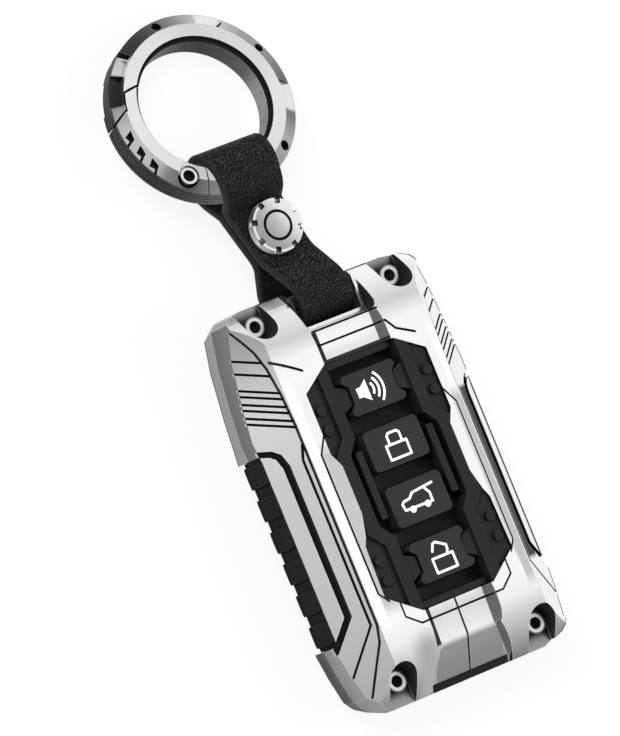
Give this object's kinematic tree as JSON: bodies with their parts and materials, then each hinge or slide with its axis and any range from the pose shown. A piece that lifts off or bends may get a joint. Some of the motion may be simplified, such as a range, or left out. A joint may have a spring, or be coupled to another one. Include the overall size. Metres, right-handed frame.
{
  "type": "key fob cover",
  "caption": "Hard two-part cover for a car key fob with push keys and rubber side grips, hung on a leather strap with a gated ring.",
  "frame": {"origin": "centre of the cover's flat back, which lies on the table", "axes": "+X across the cover, to the right seen from the front; +Y along the cover towards the strap and ring; +Z out of the front, the way the keys face"},
  "size_m": [0.0532, 0.1475, 0.0206],
  "materials": {
    "shell_metal": "satin, fine bead-blasted",
    "rear_metal": "satin",
    "liner_rubber": "matte",
    "panel_plastic": "fine matte",
    "key_plastic": "fine matte",
    "icon_light": "printed inlay",
    "grip_rubber": "matte",
    "screw_steel": "turned",
    "trim_bright": "polished",
    "leather": "pebbled grain",
    "stud_steel": "turned",
    "ring_steel": "brushed",
    "band_bright": "polished",
    "screw_black": "blackened"
  },
  "bodies": {
    "cover": {"rear_cover": "rear_metal", "key_liner": "liner_rubber", "grip_left": "grip_rubber", "grip_right": "grip_rubber", "strap_bar": "screw_steel"},
    "front_assembly": {"front_shell": "shell_metal", "button_panel": "panel_plastic", "keypad_mat": "liner_rubber", "slot_frame": "trim_bright", "cover_screws": "screw_steel"},
    "key_alarm": {"button_alarm": "key_plastic", "icon_alarm": "icon_light"},
    "key_lock": {"button_lock": "key_plastic", "icon_lock": "icon_light"},
    "key_tailgate": {"button_tailgate": "key_plastic", "icon_tailgate": "icon_light"},
    "key_unlock": {"button_unlock": "key_plastic", "icon_unlock": "icon_light"},
    "tail_strap": {"strap": "leather", "strap_stud_head": "stud_steel", "strap_stud_post": "stud_steel"},
    "tail_ring": {"ring_body": "ring_steel", "ring_band": "band_bright", "ring_screws": "screw_black", "gate_pin": "screw_steel", "gate_spring": "screw_steel"},
    "gate": {"ring_gate": "ring_steel", "gate_band": "band_bright"}
  },
  "joints": [
    {"name": "front_lift", "type": "slide", "parent": "cover", "child": "front_assembly", "axis": [0, 0, 1], "range_m": [0, 0.02]},
    {"name": "key_alarm_press", "type": "slide", "parent": "front_assembly", "child": "key_alarm", "axis": [0, 0, -1], "range_m": [0, 0.0007], "stiffness_N_per_m": 1500, "springref_m": -0.0002},
    {"name": "key_lock_press", "type": "slide", "parent": "front_assembly", "child": "key_lock", "axis": [0, 0, -1], "range_m": [0, 0.0007], "stiffness_N_per_m": 1500, "springref_m": -0.0002},
    {"name": "key_tailgate_press", "type": "slide", "parent": "front_assembly", "child": "key_tailgate", "axis": [0, 0, -1], "range_m": [0, 0.0007], "stiffness_N_per_m": 1500, "springref_m": -0.0002},
    {"name": "key_unlock_press", "type": "slide", "parent": "front_assembly", "child": "key_unlock", "axis": [0, 0, -1], "range_m": [0, 0.0007], "stiffness_N_per_m": 1500, "springref_m": -0.0002},
    {"name": "strap_swing", "type": "hinge", "parent": "cover", "child": "tail_strap", "pos_m": [0, 0.0405, 0.0088], "axis": [1, 0, 0], "range_deg": [-30, 50]},
    {"name": "ring_swing", "type": "hinge", "parent": "tail_strap", "child": "tail_ring", "pos_m": [-0.0056, 0.06887, 0.0104], "axis": [1, 0, 0], "range_deg": [-75, 75]},
    {"name": "gate_swing", "type": "hinge", "parent": "tail_ring", "child": "gate", "pos_m": [-0.01688, 0.07134, 0.0099], "axis": [0, -0.1994, -0.9799], "range_deg": [0, 21], "stiffness_Nm_per_rad": 0.05, "springref_deg": -17.19}
  ]
}
